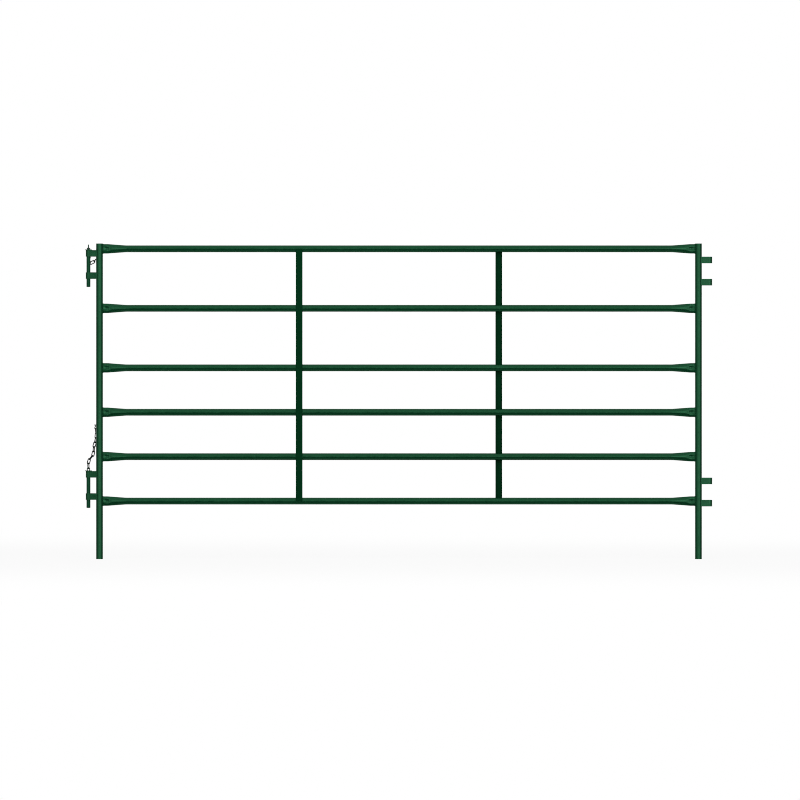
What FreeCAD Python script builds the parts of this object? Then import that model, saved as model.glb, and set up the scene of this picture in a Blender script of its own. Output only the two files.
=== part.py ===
"""Six-rail livestock corral panel with strap loops and two chained drop pins.

Millimetres, +Z up. The origin is on the ground, midway between the two legs.
+X runs along the panel towards the leg that has bare loops, -Y is the front,
and the leg with the drop pins is at -X.
"""

import FreeCAD, Part
import math
import os

from FreeCAD import Vector

X_AXIS = Vector(1, 0, 0)
Y_AXIS = Vector(0, 1, 0)
Z_AXIS = Vector(0, 0, 1)
HERE = Vector(0, 0, 0)

# ---- driving dimensions, mm ------------------------------------------------
panel_height = 1524.0           # ground to the top of a leg
leg_spacing = 2893.0            # between the axes of the two legs
tube_od = 33.4                  # legs and rails are one tube size
tube_wall = 1.6

top_rail_drop = 25.4            # top of a leg down to the top rail's axis
upper_rail_pitch = 287.5        # between the upper rails
upper_rail_gaps = 2
lower_rail_pitch = 214.5        # between the lower rails, set closer for small stock
lower_rail_gaps = 3

pad_thickness = 11.7            # rail end pressed flat where it meets a leg
pad_length = 23.0               # flat stretch, from the leg's surface
taper_length = 88.0             # from the flat back to the round tube

stay_fraction = 1.0 / 6.0       # stay's place, as a share of leg_spacing from the middle
stay_width = 32.0               # across the web of the channel
stay_gauge = 2.0                # sheet thickness of the channel
stay_bend = 1.5                 # inside bend radius of the channel

strap_width = 31.5              # height of a loop's strap
strap_thickness = 3.2
loop_reach = 66.5               # leg axis to the outer end of a loop
pin_loop_drop = 47.5            # leg top down to the middle of the highest loop at the pins
pin_loop_height = 302.0         # ground up to the middle of the lowest loop at the pins
loop_pair_pitch = 107.3         # between the two loops that one pin goes through
stacking_gap = 0.3              # bare loops hang this far under the next panel's loops

pin_diameter = 19.05
pin_length = 178.0              # below the washer
pin_chamfer = 2.0
pin_play = 1.0                  # radial room for a pin in a loop
pin_rest_gap = 0.3              # between a pin and the bend that it leans towards
washer_diameter = 34.0
washer_thickness = 3.0

chain_wire = 4.5                # wire of a link, an eye and a staple
link_inner_length = 22.6
link_inner_width = 8.0
link_gap = 0.3                  # between the wires of two links
eye_stand = 7.25                # straight part of the lower eye above its pin
upper_eye_extra = 8.5           # the upper eye is taller by this; its link lies low in it

# A chain lies in an upright plane. Each lean is a link's direction in that
# plane, in degrees from straight up, turning away from the pin.
lower_chain_turn = 29.5         # the lower chain's plane, turned from +X towards the rear
lower_leans = (-1.0, 18.0, 42.8, 14.7, 4.9, 16.9, 13.0, 7.0, -7.5, 29.6)
lower_staple_out = 47.5         # pin axis to the staple leg in the last link, in the plane
lower_staple_rise = 212.1       # that staple leg above the eye's bend centre
first_upper_lean = 105.0        # the upper chain's first link lies over the washer's rim
upper_leans = (181.0, 173.4, 163.5, 64.2, 40.0, 54.1, 9.8, 0.5)
staple_reach_past = 8.9         # how far the staple stands out past the chain's plane
lug_diameter = 6.0              # stub that carries the upper chain's last link

# ---- sizes that follow from them -------------------------------------------
tube_radius = tube_od / 2
leg_x = leg_spacing / 2
stay_x = leg_spacing * stay_fraction
top_rail_z = panel_height - top_rail_drop
upper_rails = [top_rail_z - upper_rail_pitch * i for i in range(upper_rail_gaps + 1)]
lower_rails = [upper_rails[-1] - lower_rail_pitch * (i + 1) for i in range(lower_rail_gaps)]
rail_heights = upper_rails + lower_rails

pin_radius = pin_diameter / 2
loop_inner_radius = pin_radius + pin_play
loop_outer_radius = loop_inner_radius + strap_thickness
loop_centre = loop_reach - loop_outer_radius
pin_out = loop_centre + pin_play - pin_rest_gap
pin_x = -leg_x - pin_out
upper_pair_z = panel_height - pin_loop_drop
lower_pair_z = pin_loop_height + loop_pair_pitch
loop_stagger = strap_width + stacking_gap

wire_radius = chain_wire / 2
bend_radius = link_inner_width / 2 + wire_radius
cross_pitch = link_inner_length + chain_wire
plane_pitch = link_inner_length - chain_wire - 2 * link_gap
first_pitch = bend_radius - chain_wire - link_gap + cross_pitch


def save(shape, node):
    """Write one piece, which has to be one sound solid."""
    if len(shape.Solids) != 1 or not shape.isValid():
        raise ValueError(f"{node}: {len(shape.Solids)} solids, valid {shape.isValid()}")
    shape.Solids[0].exportStep(f"parts/{node}.step")


# ---- tubes -----------------------------------------------------------------
def leg_core(x, radius=tube_radius):
    """A full-height round bar on a leg's axis."""
    return Part.makeCylinder(radius, panel_height, Vector(x, 0, 0), Z_AXIS)


def make_leg(x):
    return leg_core(x).cut(leg_core(x, tube_radius - tube_wall))


def half_ring(x, radius, lift, top):
    """Half of a rail's section: an arc of the radius, bulging up or down."""
    side = 1 if top else -1
    return Part.Arc(
        Vector(x, -radius, side * lift),
        Vector(x, 0, side * (lift + radius)),
        Vector(x, radius, side * lift),
    ).toShape()


def pressed_taper(x_round, x_flat, round_radius, flat_radius, lift):
    """Solid between a round section and a flattened one: two cone halves, two flat sides."""
    faces = []
    for top in (True, False):
        round_arc = half_ring(x_round, round_radius, 0, top)
        flat_arc = half_ring(x_flat, flat_radius, lift, top)
        faces.append(Part.makeRuledSurface(round_arc, flat_arc))
    for side in (-1, 1):
        corner = Vector(x_round, side * round_radius, 0)
        high = Vector(x_flat, side * flat_radius, lift)
        low = Vector(x_flat, side * flat_radius, -lift)
        faces.append(Part.Face(Part.makePolygon([corner, high, low, corner])))
    round_wire = Part.Wire([half_ring(x_round, round_radius, 0, t) for t in (True, False)])
    faces.append(Part.Face(round_wire))
    faces.append(Part.Face(flat_wire(x_flat, flat_radius, lift)))
    shell = Part.makeShell(faces)
    shell.sewShape()
    solid = Part.makeSolid(shell)
    solid.fix(1e-6, 1e-6, 1e-6)
    return solid


def flat_wire(x, radius, lift):
    """Outline of a flattened section: two arcs joined by two straights."""
    edges = [half_ring(x, radius, lift, True), half_ring(x, radius, lift, False)]
    for side in (-1, 1):
        edges.append(Part.makeLine(Vector(x, side * radius, -lift), Vector(x, side * radius, lift)))
    return Part.Wire(Part.__sortEdges__(edges))


def rail_form(inset):
    """The rail as a solid bar, its surface moved in by the inset, on the X axis."""
    round_radius = tube_radius - inset
    flat_radius = pad_thickness / 2 - inset
    lift = math.pi * (tube_od - pad_thickness) / 4
    flat_start = leg_x - tube_radius - pad_length
    round_end = flat_start - taper_length
    bar = Part.makeCylinder(round_radius, 2 * round_end, Vector(-round_end, 0, 0), X_AXIS)
    for side in (-1, 1):
        taper = pressed_taper(side * round_end, side * flat_start, round_radius, flat_radius, lift)
        pad_face = Part.Face(flat_wire(side * flat_start, flat_radius, lift))
        pad = pad_face.extrude(Vector(side * (leg_x - flat_start), 0, 0))
        bar = bar.fuse([taper, pad])
    return bar


def make_rail_blank():
    """One rail at height zero, its flattened ends cut to the legs."""
    rail = rail_form(0).cut(rail_form(tube_wall))
    for side in (-1, 1):
        cutter = leg_core(side * leg_x)
        cutter.translate(Vector(0, 0, -panel_height / 2))
        rail = rail.cut(cutter)
    return rail


# ---- channel stays ---------------------------------------------------------
def channel_profile():
    """Section of the channel, web at -Y, flange edges on the rails' axis plane."""
    half = stay_width / 2
    web = -(tube_radius + stay_gauge)
    outer = stay_bend + stay_gauge
    turn = math.sqrt(0.5)
    left, right = [], []
    for side, run in ((-1, left), (1, right)):
        bend_x = side * (half - outer)
        bend_y = web + outer
        tip_out = Vector(side * half, 0, 0)
        tip_in = Vector(side * (half - stay_gauge), 0, 0)
        out_up = Vector(side * half, bend_y, 0)
        out_mid = Vector(bend_x + side * outer * turn, bend_y - outer * turn, 0)
        out_low = Vector(bend_x, web, 0)
        in_up = Vector(side * (half - stay_gauge), bend_y, 0)
        in_mid = Vector(bend_x + side * stay_bend * turn, bend_y - stay_bend * turn, 0)
        in_low = Vector(bend_x, web + stay_gauge, 0)
        run.extend([
            Part.makeLine(tip_in, tip_out),
            Part.makeLine(tip_out, out_up),
            Part.Arc(out_up, out_mid, out_low).toShape(),
            Part.Arc(in_low, in_mid, in_up).toShape(),
            Part.makeLine(in_up, tip_in),
        ])
    reach = half - outer
    web_out = Part.makeLine(Vector(-reach, web, 0), Vector(reach, web, 0))
    inner = web + stay_gauge
    web_in = Part.makeLine(Vector(-reach, inner, 0), Vector(reach, inner, 0))
    return Part.Face(Part.Wire(Part.__sortEdges__(left + right + [web_out, web_in])))


def make_stay(x, behind):
    """A channel over all the rails, its flanges notched to sit on them."""
    bottom, top = rail_heights[-1], rail_heights[0]
    channel = channel_profile().extrude(Vector(0, 0, top - bottom))
    channel.translate(Vector(0, 0, bottom))
    for height in rail_heights:
        start = Vector(-stay_width, 0, height)
        channel = channel.cut(Part.makeCylinder(tube_radius, 2 * stay_width, start, X_AXIS))
    if behind:
        channel.rotate(HERE, Z_AXIS, 180)
    channel.translate(Vector(x, 0, 0))
    return channel


# ---- loops and pins --------------------------------------------------------
def make_loop(side, height):
    """Strap bent round a half circle, its two arms cut to the leg's surface."""
    base = height - strap_width / 2
    centre = Vector(loop_centre, 0, base)

    def tongue(radius):
        bar = Part.makeBox(loop_centre, 2 * radius, strap_width, Vector(0, -radius, base))
        return bar.fuse(Part.makeCylinder(radius, strap_width, centre, Z_AXIS))

    loop = tongue(loop_outer_radius).cut(tongue(loop_inner_radius))
    loop = loop.cut(leg_core(0)).removeSplitter()
    if side < 0:
        loop.rotate(HERE, Z_AXIS, 180)
    loop.translate(Vector(side * leg_x, 0, 0))
    return loop


def make_pin(shoulder):
    """Round bar from the washer's top face down through a pair of loops."""
    start = Vector(pin_x, 0, shoulder - pin_length)
    body_start = start + Vector(0, 0, pin_chamfer)
    tip = Part.makeCone(pin_radius - pin_chamfer, pin_radius, pin_chamfer, start, Z_AXIS)
    body_length = pin_length - pin_chamfer + washer_thickness
    return tip.fuse(Part.makeCylinder(pin_radius, body_length, body_start, Z_AXIS))


def make_washer(shoulder):
    seat = Vector(pin_x, 0, shoulder)
    disc = Part.makeCylinder(washer_diameter / 2, washer_thickness, seat, Z_AXIS)
    return disc.cut(Part.makeCylinder(pin_radius, washer_thickness, seat, Z_AXIS))


# ---- chain -----------------------------------------------------------------
def wire_bar(start, end):
    run = end - start
    return Part.makeCylinder(wire_radius, run.Length, start, run)


def wire_bend(centre, normal, first):
    """Half a ring of wire about the normal; it starts at the first direction."""
    ring = Part.makeTorus(bend_radius, wire_radius, HERE, Z_AXIS, 0, 360, 180)
    frame = FreeCAD.Rotation(first, normal.cross(first), normal, "ZXY")
    ring.Placement = FreeCAD.Placement(centre, frame)
    return ring


def make_link(start, end, normal):
    """A link in the plane across the normal, its end wires at the two points."""
    along = (end - start).normalize()
    across = normal.cross(along).normalize()
    near = start + along * bend_radius
    far = end - along * bend_radius
    side = across * bend_radius
    link = wire_bar(near + side, far + side).fuse([
        wire_bar(near - side, far - side),
        wire_bend(near, normal, across),
        wire_bend(far, normal, across * -1),
    ])
    return link


def make_eye(foot, along, stand):
    """Wire arch on top of a pin, standing in the plane of the direction."""
    side = along * bend_radius
    top = foot + Z_AXIS * stand
    arch = wire_bend(top, along.cross(Z_AXIS), along)
    return arch.fuse([wire_bar(foot + side, top + side), wire_bar(foot - side, top - side)])


def make_staple(foot, out, across, width, reach):
    """Wire staple: two legs from the foot line, and a bar that joins them out at the reach."""
    corner = foot + out * (reach - bend_radius)
    turn_one = corner + across * bend_radius
    turn_two = corner + across * (width - bend_radius)
    parts = [
        wire_bar(foot, corner),
        wire_bar(foot + across * width, corner + across * width),
        quarter_bend(turn_one, across * -1, out),
        quarter_bend(turn_two, across, out),
    ]
    if width > 2 * bend_radius:
        parts.append(wire_bar(turn_one + out * bend_radius, turn_two + out * bend_radius))
    return parts[0].fuse(parts[1:])


def quarter_bend(centre, first, second):
    """A quarter ring of wire about the centre, from one direction round to the other."""
    ring = Part.makeTorus(bend_radius, wire_radius, HERE, Z_AXIS, 0, 360, 90)
    frame = FreeCAD.Rotation(first, second, first.cross(second), "ZXY")
    ring.Placement = FreeCAD.Placement(centre, frame)
    return ring


def heading(lean, along):
    """Unit vector at a lean from straight up, in the upright plane of the direction."""
    angle = math.radians(lean)
    return along * math.sin(angle) + Z_AXIS * math.cos(angle)


def hang_links(node, number, point, along, leans, edge_on):
    """Write a run of links, every other one edge-on to the chain's plane; give its far end."""
    normal = Z_AXIS.cross(along)
    for lean in leans:
        ahead = heading(lean, along)
        if edge_on:
            point_after = point + ahead * cross_pitch
            far = point_after
            link = make_link(point, far, ahead.cross(normal))
        else:
            overlap = ahead * (chain_wire + link_gap)
            point_after = point + ahead * plane_pitch
            far = point_after + overlap
            link = make_link(point - overlap, far, normal)
        save(link, f"{node}_{number:02d}")
        number += 1
        point = point_after
        edge_on = not edge_on
    return far


# ---- write every piece -----------------------------------------------------
os.makedirs("parts", exist_ok=True)

save(make_leg(-leg_x), "left_leg")
save(make_leg(leg_x), "right_leg")

rail_blank = make_rail_blank()
for index, height in enumerate(rail_heights):
    rail = rail_blank.copy()
    rail.translate(Vector(0, 0, height))
    save(rail, f"rail_{index + 1}")

save(make_stay(-stay_x, behind=False), "front_stay")
save(make_stay(stay_x, behind=True), "rear_stay")

pin_loops = [upper_pair_z, upper_pair_z - loop_pair_pitch]
pin_loops += [lower_pair_z, lower_pair_z - loop_pair_pitch]
for index, height in enumerate(pin_loops):
    save(make_loop(-1, height), f"pin_loop_{index + 1}")
    save(make_loop(1, height - loop_stagger), f"bare_loop_{index + 1}")

# Each pin hangs by its washer on the upper loop of its pair.
lower_along = X_AXIS * math.cos(math.radians(lower_chain_turn))
lower_along += Y_AXIS * math.sin(math.radians(lower_chain_turn))
shoulders = {"upper": upper_pair_z + strap_width / 2, "lower": lower_pair_z + strap_width / 2}
eye_planes = {"upper": Y_AXIS, "lower": lower_along}
eye_stands = {"upper": eye_stand + upper_eye_extra, "lower": eye_stand}
chain_starts = {}
for name, shoulder in shoulders.items():
    foot = Vector(pin_x, 0, shoulder + washer_thickness)
    chain_starts[name] = foot + Z_AXIS * eye_stand
    save(make_pin(shoulder), f"{name}_pin")
    save(make_washer(shoulder), f"{name}_pin_washer")
    save(make_eye(foot, eye_planes[name], eye_stands[name]), f"{name}_pin_eye")

# Lower chain: up from the pin's eye to a staple on the back of the leg.
normal = Z_AXIS.cross(lower_along)
ahead = heading(lower_leans[0], lower_along)
end = chain_starts["lower"] + ahead * first_pitch
save(make_link(end - ahead * cross_pitch, end, ahead.cross(normal)), "lower_link_01")
hang_links("lower_link", 2, end, lower_along, lower_leans[1:], edge_on=False)

# Upper chain: back over the washer, down behind the loops, and up behind the leg.
ahead = heading(first_upper_lean, Y_AXIS)
end = chain_starts["upper"] + ahead * first_pitch
save(make_link(end - ahead * cross_pitch, end, ahead.cross(X_AXIS)), "upper_link_01")
hung = end + Z_AXIS * (chain_wire + link_gap)
last = hang_links("upper_link", 2, hung, X_AXIS, upper_leans, edge_on=True)

# The last link rests against a stub on the back of the leg.
lug_end = last.y - wire_radius - link_gap
lug = Part.makeCylinder(lug_diameter / 2, lug_end, Vector(last.x, 0, last.z), Y_AXIS)
save(lug.cut(leg_core(-leg_x)), "upper_chain_lug")

# Staple of the lower chain, cut to the leg.
anchor = Vector(pin_x, 0, chain_starts["lower"].z + lower_staple_rise)
anchor += lower_along * lower_staple_out
inset = (anchor - Vector(-leg_x, 0, 0)).dot(normal)
staple = make_staple(
    anchor - normal * inset, normal, lower_along * -1, 2 * bend_radius, inset + staple_reach_past
)
save(staple.cut(leg_core(-leg_x)), "lower_chain_staple")
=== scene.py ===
"""Blender scene of a six-rail livestock corral panel: powder-coated tube, weld beads, pressed
rail ends and two chained drop pins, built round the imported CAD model. Metres, +Z up."""

import bpy
import bmesh
import math
import random
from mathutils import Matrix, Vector


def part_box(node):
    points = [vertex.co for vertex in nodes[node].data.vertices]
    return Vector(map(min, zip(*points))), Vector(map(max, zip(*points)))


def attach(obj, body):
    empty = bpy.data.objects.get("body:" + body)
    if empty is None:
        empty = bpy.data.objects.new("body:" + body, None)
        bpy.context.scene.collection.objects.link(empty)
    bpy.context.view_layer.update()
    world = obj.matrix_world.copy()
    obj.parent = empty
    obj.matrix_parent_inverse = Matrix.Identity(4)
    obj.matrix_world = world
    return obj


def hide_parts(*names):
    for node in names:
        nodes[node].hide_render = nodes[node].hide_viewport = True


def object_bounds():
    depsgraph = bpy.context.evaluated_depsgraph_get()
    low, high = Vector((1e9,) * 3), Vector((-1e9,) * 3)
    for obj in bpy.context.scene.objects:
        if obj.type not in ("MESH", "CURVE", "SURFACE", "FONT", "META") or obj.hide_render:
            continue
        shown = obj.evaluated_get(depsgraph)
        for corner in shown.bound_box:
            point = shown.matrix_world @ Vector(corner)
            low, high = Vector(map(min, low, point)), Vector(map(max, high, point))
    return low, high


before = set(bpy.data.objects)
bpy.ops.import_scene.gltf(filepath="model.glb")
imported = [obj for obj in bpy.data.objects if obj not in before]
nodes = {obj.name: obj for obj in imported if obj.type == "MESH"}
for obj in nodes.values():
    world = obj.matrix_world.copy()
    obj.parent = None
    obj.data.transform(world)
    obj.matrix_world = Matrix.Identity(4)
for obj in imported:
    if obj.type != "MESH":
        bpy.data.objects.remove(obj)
cad_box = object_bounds()
scene = bpy.context.scene
scene.view_settings.view_transform = "Standard"
random.seed(7)                        # for the weld beads' unevenness

RAILS = [f"rail_{i}" for i in range(1, 7)]
LEGS = ["left_leg", "right_leg"]
STAYS = ["front_stay", "rear_stay"]
LOOPS = [f"{kind}_loop_{i}" for kind in ("pin", "bare") for i in range(1, 5)]
PIN_ENDINGS = ("_pin", "_pin_washer", "_pin_eye")


def centre(node):
    low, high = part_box(node)
    return (low + high) / 2


def size(node):
    low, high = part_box(node)
    return high - low


# ---- shader nodes ---------------------------------------------------------------
MIX_COLOUR_A, MIX_COLOUR_B, MIX_COLOUR_OUT = 6, 7, 2    # the Mix node's colour sockets


def object_coordinates(tree):
    return tree.nodes.new("ShaderNodeTexCoord").outputs["Object"]


def noise(tree, scale, detail, roughness=0.5):
    node = tree.nodes.new("ShaderNodeTexNoise")
    node.inputs["Scale"].default_value = scale
    node.inputs["Detail"].default_value = detail
    node.inputs["Roughness"].default_value = roughness
    tree.links.new(object_coordinates(tree), node.inputs["Vector"])
    return node.outputs["Fac"]


def ramp(tree, fac, stops):
    node = tree.nodes.new("ShaderNodeValToRGB")
    elements = node.color_ramp.elements
    while len(elements) < len(stops):
        elements.new(0.5)
    for element, (position, colour) in zip(elements, stops):
        element.position = position
        element.color = (*colour, 1.0)
    tree.links.new(fac, node.inputs["Fac"])
    return node.outputs["Color"]


def grey(value):
    return (value, value, value)


def mix(tree, fac, a, b):
    """Colours a and b, each an RGB tuple or a socket, blended by the socket fac."""
    node = tree.nodes.new("ShaderNodeMix")
    node.data_type = "RGBA"
    tree.links.new(fac, node.inputs["Factor"])
    for socket, value in ((MIX_COLOUR_A, a), (MIX_COLOUR_B, b)):
        if isinstance(value, tuple):
            node.inputs[socket].default_value = (*value, 1.0)
        else:
            tree.links.new(value, node.inputs[socket])
    return node.outputs[MIX_COLOUR_OUT]


def mix_shaders(tree, fac, a, b):
    node = tree.nodes.new("ShaderNodeMixShader")
    tree.links.new(fac, node.inputs["Fac"])
    tree.links.new(a, node.inputs[1])
    tree.links.new(b, node.inputs[2])
    return node.outputs["Shader"]


def calculate(tree, operation, a, b):
    node = tree.nodes.new("ShaderNodeMath")
    node.operation = operation
    tree.links.new(a, node.inputs[0])
    tree.links.new(b, node.inputs[1])
    return node.outputs[0]


def bump(tree, shader, height, strength, distance):
    node = tree.nodes.new("ShaderNodeBump")
    node.inputs["Strength"].default_value = strength
    node.inputs["Distance"].default_value = distance
    tree.links.new(height, node.inputs["Height"])
    tree.links.new(node.outputs["Normal"], shader.inputs["Normal"])


# ---- materials --------------------------------------------------------------
# Noise scales, from slow clouds to fine grain.
COAT_DRIFT, COAT_SHEEN, COAT_SPECKS, ORANGE_PEEL = 3.0, 34.0, 240.0, 420.0
CHAIN_DRIFT, CHAIN_SCUFFS, CHAIN_GRAIN = 90.0, 160.0, 700.0

# Greens as (light, dark) pairs, between which a coat drifts.
PLAIN_GREENS = (0.0058, 0.078, 0.029), (0.0044, 0.066, 0.024)
# Painted shade: the stays' greens are far darker than the plain coat. They stand in for the shade
# on the stays' flat webs.
STAY_SHADED_GREENS = (0.0014, 0.029, 0.0092), (0.0011, 0.024, 0.0074)
PIN_GREENS = (0.0042, 0.047, 0.021), (0.0034, 0.039, 0.017)
BEAD_GREENS = (0.0046, 0.064, 0.024), (0.0036, 0.052, 0.019)
WORN_GREEN = (0.012, 0.09, 0.036)
SPECK_GAIN = 1.12            # the specks' brightness, against the light green
CHAIN_BLACKS = [(0.30, (0.0045, 0.011, 0.0075)),
                (0.55, (0.007, 0.016, 0.011)),
                (0.78, (0.018, 0.021, 0.014))]


def new_material(name):
    material = bpy.data.materials.new(name)
    material.use_nodes = True
    tree = material.node_tree
    tree.nodes.clear()
    output = tree.nodes.new("ShaderNodeOutputMaterial")
    shader = tree.nodes.new("ShaderNodeBsdfPrincipled")
    tree.links.new(shader.outputs["BSDF"], output.inputs["Surface"])
    return material, tree, shader


def powder_coat(name, greens, roughness=0.18, specular=0.4, metallic=0.62, wear=0.0):
    """Polyester powder coat: slow colour drift, fine specks, orange peel, and worn edges."""
    light, dark = greens
    material, tree, shader = new_material(name)
    drift = ramp(tree, noise(tree, COAT_DRIFT, 3.0), [(0.3, dark), (0.7, light)])
    specks = ramp(tree, noise(tree, COAT_SPECKS, 2.0), [(0.35, grey(0.0)), (0.75, grey(0.5))])
    colour = mix(tree, specks, drift, tuple(SPECK_GAIN * c for c in light))
    if wear:
        pointiness = tree.nodes.new("ShaderNodeNewGeometry").outputs["Pointiness"]
        edges = ramp(tree, pointiness, [(0.52, grey(0.0)), (0.60, grey(wear))])
        colour = mix(tree, edges, colour, WORN_GREEN)
    tree.links.new(colour, shader.inputs["Base Color"])
    rough = ramp(tree, noise(tree, COAT_SHEEN, 5.0),
                 [(0.3, grey(roughness - 0.05)), (0.7, grey(roughness + 0.07))])
    tree.links.new(rough, shader.inputs["Roughness"])
    shader.inputs["IOR"].default_value = 1.5
    shader.inputs["Specular IOR Level"].default_value = specular
    shader.inputs["Metallic"].default_value = metallic
    bump(tree, shader, noise(tree, ORANGE_PEEL, 3.0, 0.6), strength=0.05, distance=0.0004)
    return material


def chain_steel(name):
    """Blackened wire, uneven in tone, with dull scuffs."""
    material, tree, shader = new_material(name)
    drift = ramp(tree, noise(tree, CHAIN_DRIFT, 5.0), CHAIN_BLACKS)
    tree.links.new(drift, shader.inputs["Base Color"])
    shader.inputs["Metallic"].default_value = 0.35
    shader.inputs["Specular IOR Level"].default_value = 0.3
    rough = ramp(tree, noise(tree, CHAIN_SCUFFS, 4.0), [(0.3, grey(0.36)), (0.7, grey(0.56))])
    tree.links.new(rough, shader.inputs["Roughness"])
    bump(tree, shader, noise(tree, CHAIN_GRAIN, 4.0), strength=0.25, distance=0.0003)
    return material


MATERIALS = {
    "leg": powder_coat("leg_green_coat", PLAIN_GREENS),
    "rail": powder_coat("rail_green_coat", PLAIN_GREENS),
    # painted shade: the stays take the darker greens in place of the shade on their webs
    "stay": powder_coat("stay_shaded_green_coat", STAY_SHADED_GREENS, roughness=0.5, specular=0.02, metallic=0.2),
    "strap": powder_coat("strap_green_coat", PLAIN_GREENS, roughness=0.2, wear=0.3),
    "pin": powder_coat("pin_green_coat", PIN_GREENS, roughness=0.34, specular=0.1, metallic=0.4,
                       wear=0.3),
    "bead": powder_coat("weld_green_coat", BEAD_GREENS, roughness=0.3),
    "chain": chain_steel("black_chain_steel"),
}


def coat(obj, key):
    obj.data.materials.clear()
    obj.data.materials.append(MATERIALS[key])


for node, obj in nodes.items():
    if node in RAILS:
        coat(obj, "rail")
    elif node in LEGS:
        coat(obj, "leg")
    elif node in STAYS:
        coat(obj, "stay")
    elif node in LOOPS:
        coat(obj, "strap")
    elif node.endswith(PIN_ENDINGS):
        coat(obj, "pin")
    else:
        coat(obj, "chain")


# ---- helpers for new pieces ---------------------------------------------------
def add_piece(name, bm, body, key):
    """Turn a bmesh into a smooth object of the scene that rides on a body."""
    bmesh.ops.recalc_face_normals(bm, faces=bm.faces)
    mesh = bpy.data.meshes.new(name)
    bm.to_mesh(mesh)
    bm.free()
    for polygon in mesh.polygons:
        polygon.use_smooth = True
    obj = bpy.data.objects.new(name, mesh)
    scene.collection.objects.link(obj)
    coat(obj, key)
    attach(obj, body)
    return obj


def bridge(bm, a, b):
    """A band of faces between two rings of as many points."""
    for j in range(len(a)):
        k = (j + 1) % len(a)
        bm.faces.new((a[j], a[k], b[k], b[j]))


def tube_along(bm, points, radii, sides, closed):
    """A round tube through points, with its own radius at each of them."""
    count = len(points)
    rings = []
    across = None
    for i, point in enumerate(points):
        before = points[i - 1] if (closed or i > 0) else point
        after = points[(i + 1) % count] if (closed or i < count - 1) else point
        heading = (after - before).normalized()
        if across is None:
            steep = abs(heading.z) >= 0.9
            across = Vector((1, 0, 0) if steep else (0, 0, 1)).cross(heading).normalized()
        across = (across - heading * across.dot(heading)).normalized()
        other = heading.cross(across)
        ring = []
        for j in range(sides):
            angle = 2 * math.pi * j / sides
            offset = across * math.cos(angle) + other * math.sin(angle)
            ring.append(bm.verts.new(point + offset * radii[i]))
        rings.append(ring)
    for i in range(count if closed else count - 1):
        bridge(bm, rings[i], rings[(i + 1) % count])
    if not closed:
        bm.faces.new(list(reversed(rings[0])))
        bm.faces.new(rings[-1])


# ---- rails with pressed ends ----------------------------------------------------
TUBE = size("left_leg").x / 2         # the legs' and rails' outer radius
LEG_X = centre("right_leg").x
PAD_LENGTH = 0.023
TAPER_LENGTH = 0.088
# By distance from the leg: half the depth over the flat pad, the die's step and the long run-out;
# the share of the pad's extra height; and how much squarer than an ellipse the section is.
PRESSED_DEPTH = [(0.0, 0.0053), (0.026, 0.0063), (0.045, 0.0108), (PAD_LENGTH + TAPER_LENGTH, TUBE)]
PRESSED_RISE = [(PAD_LENGTH, 1.0), (PAD_LENGTH + TAPER_LENGTH, 0.0)]
SQUARENESS = [(0.010, 0.2), (0.030, 0.0)]
EASING = (-0.005, -0.0025, 0.0, 0.0025, 0.005)      # a profile is averaged over these offsets
# The die's dent in each face of the pad.
DENT_AT, DENT_REACH, DENT_HEIGHT, DENT_DEPTH = 0.020, 0.014, 0.0075, 0.0026
DENT_RISE = 0.001            # its middle, above the rail's
DENT_LIMIT = 0.6             # of the half depth there, so that the two faces stay apart
RAIL_SIDES = 56
RING_STEP = 0.002            # the rings' spacing; the first stands half a step off the leg
PRESSED_RINGS = 60           # after it, to beyond the pressed stretch
END_SINK = 0.0006            # the rail's end reaches this far into the leg's wall
FOLLOW_LENGTH = 0.02         # over which the rings turn from the leg's round to flat


def eased_along(points, s):
    """Value at s metres from the leg on a line through points, its corners rounded."""
    total = 0.0
    for offset in EASING:
        at = s + offset
        value = points[0][1] if at <= points[0][0] else points[-1][1]
        for (s0, v0), (s1, v1) in zip(points, points[1:]):
            if s0 < at < s1:
                value = v0 + (v1 - v0) * (at - s0) / (s1 - s0)
        total += value
    return total / len(EASING)


def rail_section(s, half_high, angle):
    """Depth and height of the rail's skin at an angle round it, s metres from the leg."""
    high = TUBE + (half_high - TUBE) * eased_along(PRESSED_RISE, s)
    depth = eased_along(PRESSED_DEPTH, s)
    power = 2 / (2 + eased_along(SQUARENESS, s))
    sine, cosine = math.sin(angle), math.cos(angle)
    z = high * math.copysign(abs(sine) ** power, sine)
    y = depth * math.copysign(abs(cosine) ** power, cosine)
    along, up = (s - DENT_AT) / DENT_REACH, (z - DENT_RISE) / DENT_HEIGHT
    dent = DENT_DEPTH * math.exp(-along ** 2 - up ** 2)
    return y - math.copysign(min(dent, DENT_LIMIT * abs(y)), y), z


def leg_skin(y):
    """Distance of the leg's inner side from the panel's middle, at depth y."""
    return LEG_X - math.sqrt(TUBE ** 2 - y ** 2)


def rail_ring(bm, side, s, mid_z, half_high):
    """The rail's skin s metres from the leg on that side, flat or following the leg's round."""
    ring = []
    outside = max(s, 0.0)
    follow = 1 - min(1.0, outside / FOLLOW_LENGTH)
    for j in range(RAIL_SIDES):
        y, z = rail_section(outside, half_high, 2 * math.pi * j / RAIL_SIDES)
        x = LEG_X - TUBE + (leg_skin(y) - LEG_X + TUBE) * follow - s
        ring.append(bm.verts.new((side * x, y, mid_z + z)))
    return ring


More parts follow.
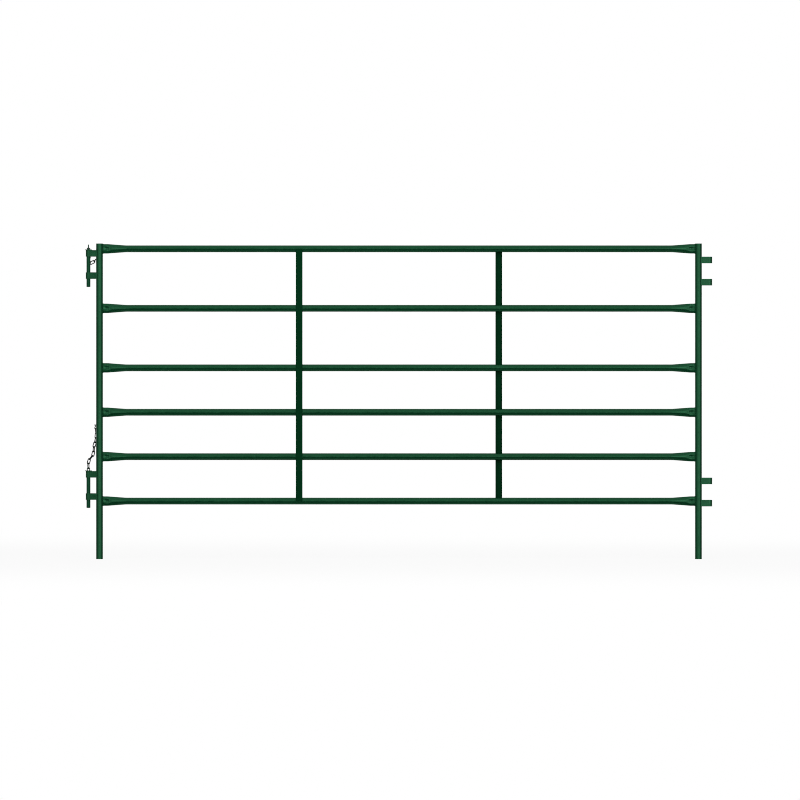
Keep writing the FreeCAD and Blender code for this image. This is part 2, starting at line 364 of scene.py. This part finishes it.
def make_rail(node):
    """One rail from leg to leg, in place of the CAD's plain one."""
    low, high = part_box(node)
    mid_z, half_high = (low.z + high.z) / 2, (high.z - low.z) / 2
    stations = [-END_SINK, RING_STEP / 2]
    stations += [1.5 * RING_STEP + RING_STEP * i for i in range(PRESSED_RINGS)]
    bm = bmesh.new()
    rings = [rail_ring(bm, -1, s, mid_z, half_high) for s in stations]
    rings += [rail_ring(bm, 1, s, mid_z, half_high) for s in reversed(stations)]
    for a, b in zip(rings, rings[1:]):
        bridge(bm, a, b)
    for ring in (rings[0], rings[-1]):
        hub = bm.verts.new(sum((v.co for v in ring), Vector()) / RAIL_SIDES)
        for j in range(RAIL_SIDES):
            bm.faces.new((ring[j], ring[(j + 1) % RAIL_SIDES], hub))
    obj = add_piece(f"{node}_tube", bm, "panel", "rail")
    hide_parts(node)


for rail in RAILS:
    make_rail(rail)

# ---- weld beads ---------------------------------------------------------------
BEAD = 0.0024                # the beads' radii
STAY_BEAD = 0.75 * BEAD
STRAP_BEAD = 0.8 * BEAD
BEAD_SIDES = 8
RIPPLE_PITCH = 1.3           # of the radius: ripples two thirds of the bead's width apart
RIPPLE_STEPS = 4
RIPPLE_LOW, RIPPLE_RISE, RIPPLE_SCATTER = 0.86, 0.16, 0.04      # of the radius
BEAD_END = 0.6               # of the radius, where a bead starts and stops

PAD_POINTS = 40
PAD_OUT = 0.0004             # the bead's middle, off the pressed end's faces
PAD_OFF_LEG = 0.0002         # and off the leg's wall
PAD_HEIGHT = 0.985           # of the pressed end's
STAY_ARC = (12.0, 72.0)      # degrees round the rail, from its front or back
STAY_OUT = 0.0004            # off the stay's sides
STAY_POINTS = 9
STRAP_OUT = 0.0006           # off the leg's wall and the strap's faces
STRAP_END = 0.002            # short of the strap's edges
STRAP_POINTS = 13


def weld_bead(bm, path, radius, closed=False):
    """A hand-laid bead along a path, made of overlapping ripples."""
    points, radii = [], []
    length = 0.0
    pitch = radius * RIPPLE_PITCH
    for i in range(len(path) if closed else len(path) - 1):
        a, b = path[i], path[(i + 1) % len(path)]
        span = (b - a).length
        parts = max(1, round(span / (pitch / RIPPLE_STEPS)))
        for k in range(parts):
            points.append(a.lerp(b, k / parts))
            length += span / parts
            wave = 0.5 + 0.5 * math.cos(2 * math.pi * length / pitch)
            scatter = random.uniform(-RIPPLE_SCATTER, RIPPLE_SCATTER)
            radii.append(radius * (RIPPLE_LOW + RIPPLE_RISE * wave + scatter))
    if not closed:
        points.append(path[-1])
        radii.append(radius * BEAD_END)
        radii[0] = radius * BEAD_END
    tube_along(bm, points, radii, BEAD_SIDES, closed)


def pad_weld(rail, side):
    """The bead round a rail's pressed end, on the leg's round wall."""
    low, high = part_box(rail)
    mid_z, half_high = (low.z + high.z) / 2, (high.z - low.z) / 2
    path = []
    for i in range(PAD_POINTS):
        y, z = rail_section(0.0, half_high, 2 * math.pi * i / PAD_POINTS)
        y += math.copysign(PAD_OUT, y)
        path.append(Vector((side * (leg_skin(y) - PAD_OFF_LEG), y, mid_z + z * PAD_HEIGHT)))
    bm = bmesh.new()
    weld_bead(bm, path, BEAD, closed=True)
    add_piece(f"{rail}_{'left' if side < 0 else 'right'}_weld", bm, "panel", "bead")


def stay_weld(stay, rail, ways):
    """Short beads where a stay's two flanges sit on a rail: above it, below it or both."""
    low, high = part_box(stay)
    face = -1 if stay == "front_stay" else 1
    rail_z = centre(rail).z
    first, last = (math.radians(angle) for angle in STAY_ARC)
    bm = bmesh.new()
    for x in (low.x - STAY_OUT, high.x + STAY_OUT):
        for up in ways:
            path = []
            for i in range(STAY_POINTS):
                angle = first + (last - first) * i / (STAY_POINTS - 1)
                y, z = face * TUBE * math.cos(angle), up * TUBE * math.sin(angle)
                path.append(Vector((x, y, rail_z + z)))
            weld_bead(bm, path, STAY_BEAD)
    add_piece(f"{stay}_{rail}_weld", bm, "panel", "bead")


def strap_weld(loop):
    """Two upright beads in the corners where a strap's legs meet the leg's wall."""
    low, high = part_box(loop)
    leg, side = ("left_leg", -1) if loop.startswith("pin") else ("right_leg", 1)
    bottom, length = low.z + STRAP_END, high.z - low.z - 2 * STRAP_END
    bm = bmesh.new()
    for front in (-1, 1):
        y = front * (high.y - low.y) / 2
        x = centre(leg).x + side * (math.sqrt(max(TUBE ** 2 - y ** 2, 0.0)) + STRAP_OUT)
        path = [Vector((x, y + front * STRAP_OUT, bottom + length * i / (STRAP_POINTS - 1)))
                for i in range(STRAP_POINTS)]
        weld_bead(bm, path, STRAP_BEAD)
    add_piece(f"{loop}_weld", bm, "panel", "bead")


for rail in RAILS:
    for side in (-1, 1):
        pad_weld(rail, side)
for stay in STAYS:
    for rail in RAILS:
        stay_weld(stay, rail, [up for up, end in ((-1, RAILS[-1]), (1, RAILS[0])) if rail != end])
for loop in LOOPS:
    strap_weld(loop)

# ---- camera ---------------------------------------------------------------------
PICTURE_WIDTH = 3.8643                # metres across the picture at the panel
CAMERA_X, CAMERA_Z = 0.0049, 0.7683
LENS, SENSOR = 300.0, 36.0            # millimetres: a long lens, seen almost without perspective
FAR = 300

camera_data = bpy.data.cameras.new("camera")
camera_data.lens = LENS
camera_data.sensor_width = SENSOR
camera_data.clip_end = FAR
camera = bpy.data.objects.new("camera", camera_data)
scene.collection.objects.link(camera)
camera.location = (CAMERA_X, -PICTURE_WIDTH * LENS / SENSOR, CAMERA_Z)
camera.rotation_euler = (math.radians(90), 0, 0)
scene.camera = camera
scene.cycles.filter_width = 1.0       # crisp edges: the chain's wire is under a pixel wide

# ---- floor ----------------------------------------------------------------------
FLOOR_RADIUS, FLOOR_SIDES, FLOOR_GAP = 90, 64, 0.0005
# The floor keeps shadows near the panel and is plain white far off: shares of white, and the
# distances from its middle at which they hold.
WHITE_NEAR, WHITE_FAR = 0.88, 1.0
NEAR_REACH, FAR_REACH = 2.0, 7.0


def seen_white(tree, shader, white_type, share=None):
    """Camera, glossy and transmitted rays see plain white for the shader, or a share of white."""
    path = tree.nodes.new("ShaderNodeLightPath")
    fac = path.outputs["Is Camera Ray"]
    for ray in ("Is Glossy Ray", "Is Transmission Ray"):
        fac = calculate(tree, "MAXIMUM", fac, path.outputs[ray])
    if share:
        fac = calculate(tree, "MULTIPLY", fac, share)
    white = tree.nodes.new(white_type)
    white.inputs["Color"].default_value = (1, 1, 1, 1)
    return mix_shaders(tree, fac, shader, white.outputs[0])


def floor_coat():
    material = bpy.data.materials.new("pale_floor")
    material.use_nodes = True
    tree = material.node_tree
    tree.nodes.clear()
    diffuse = tree.nodes.new("ShaderNodeBsdfDiffuse")
    diffuse.inputs["Color"].default_value = (0.8, 0.8, 0.8, 1)
    reach = tree.nodes.new("ShaderNodeVectorMath")
    reach.operation = "LENGTH"
    tree.links.new(object_coordinates(tree), reach.inputs[0])
    fade = tree.nodes.new("ShaderNodeMapRange")
    fade.interpolation_type = "SMOOTHSTEP"
    for socket, value in (("From Min", NEAR_REACH), ("From Max", FAR_REACH),
                          ("To Min", WHITE_NEAR), ("To Max", WHITE_FAR)):
        fade.inputs[socket].default_value = value
    tree.links.new(reach.outputs["Value"], fade.inputs["Value"])
    surface = seen_white(tree, diffuse.outputs["BSDF"], "ShaderNodeEmission",
                         fade.outputs["Result"])
    output = tree.nodes.new("ShaderNodeOutputMaterial")
    tree.links.new(surface, output.inputs["Surface"])
    return material


floor_mesh = bpy.data.meshes.new("floor")
floor_bm = bmesh.new()
bmesh.ops.create_circle(floor_bm, cap_ends=True, radius=FLOOR_RADIUS, segments=FLOOR_SIDES)
floor_bm.to_mesh(floor_mesh)
floor_bm.free()
floor_mesh.materials.append(floor_coat())
floor = bpy.data.objects.new("floor", floor_mesh)
floor.location.z = cad_box[0].z - FLOOR_GAP
scene.collection.objects.link(floor)
floor.visible_glossy = False

# ---- studio ---------------------------------------------------------------------
# Reflections see a white studio with a darker stretch low in front and dark walls at the sides.
# Each list gives a brightness or a share against one part of the ray's direction, from -1 to 1:
# its height, as the rails mirror the studio, or its way to the side, as the upright tubes do.
UPRIGHT_STUDIO = [(-1.0, 0.40), (-0.90, 0.28), (-0.72, 0.0), (0.17, 0.0),
                  (0.30, 0.58), (0.5, 0.62), (1.0, 0.7)]
AROUND_STUDIO = [(-1.0, 0.1), (-0.95, 0.2), (-0.67, 0.58), (-0.20, 1.4),
                 (0.12, 1.95), (0.45, 1.65), (0.86, 0.25)]
# The way to the side counts where a ray is nearly level and isn't straight ahead.
LEVEL = [(-0.22, 0.0), (-0.05, 1.0), (0.14, 1.0), (0.42, 0.0)]
ASIDE = [(-0.14, 1.0), (-0.05, 0.0), (0.025, 0.0), (0.045, 1.0)]
BEHIND = [(0.40, 0.0), (0.8, 1.0)]    # the wall behind the panel is plain white
AMBIENT = 0.14


def spread(tree, value, stops):
    """Grey levels at stops along a value that runs from -1 to 1."""
    half = tree.nodes.new("ShaderNodeMath")
    half.operation = "MULTIPLY_ADD"
    half.inputs[1].default_value = 0.5
    half.inputs[2].default_value = 0.5
    tree.links.new(value, half.inputs[0])
    return ramp(tree, half.outputs[0], [((at + 1) / 2, grey(level)) for at, level in stops])


def studio_world():
    world = bpy.data.worlds.new("studio")
    world.use_nodes = True
    tree = world.node_tree
    tree.nodes.clear()
    ambient = tree.nodes.new("ShaderNodeBackground")
    ambient.inputs["Color"].default_value = (1, 1, 1, 1)
    ambient.inputs["Strength"].default_value = AMBIENT
    plain = seen_white(tree, ambient.outputs["Background"], "ShaderNodeBackground")

    direction = tree.nodes.new("ShaderNodeSeparateXYZ")
    tree.links.new(tree.nodes.new("ShaderNodeTexCoord").outputs["Generated"], direction.inputs[0])
    x, y, z = (direction.outputs[axis] for axis in "XYZ")
    share = calculate(tree, "MULTIPLY", spread(tree, x, ASIDE), spread(tree, z, LEVEL))
    front = mix(tree, share, spread(tree, z, UPRIGHT_STUDIO), spread(tree, x, AROUND_STUDIO))
    studio = tree.nodes.new("ShaderNodeBackground")
    tree.links.new(mix(tree, spread(tree, y, BEHIND), front, grey(1.0)), studio.inputs["Color"])

    glossy = tree.nodes.new("ShaderNodeLightPath").outputs["Is Glossy Ray"]
    surface = mix_shaders(tree, glossy, plain, studio.outputs["Background"])
    output = tree.nodes.new("ShaderNodeOutputWorld")
    tree.links.new(surface, output.inputs["Surface"])
    return world


scene.world = studio_world()

# ---- lamps ----------------------------------------------------------------------
# name: place, width, height, power
LAMPS = {
    "key": ((-1.0, -8.0, 7.0), 10.0, 6.0, 820),
    "fill": ((1.0, -10.0, 2.2), 5.0, 3.0, 180),
    "rim": ((1.0, 7.0, 5.0), 8.0, 4.0, 420),
}


def area_light(name, location, width, height, power):
    data = bpy.data.lights.new(name, "AREA")
    data.shape = "RECTANGLE"
    data.size = width
    data.size_y = height
    data.energy = power
    obj = bpy.data.objects.new(name, data)
    obj.location = location
    heading = (cad_box[0] + cad_box[1]) / 2 - Vector(location)
    obj.rotation_euler = heading.to_track_quat("-Z", "Y").to_euler()
    obj.visible_glossy = False        # reflections see the studio round the lamps
    scene.collection.objects.link(obj)


for name, (location, width, height, power) in LAMPS.items():
    area_light(name, location, width, height, power)
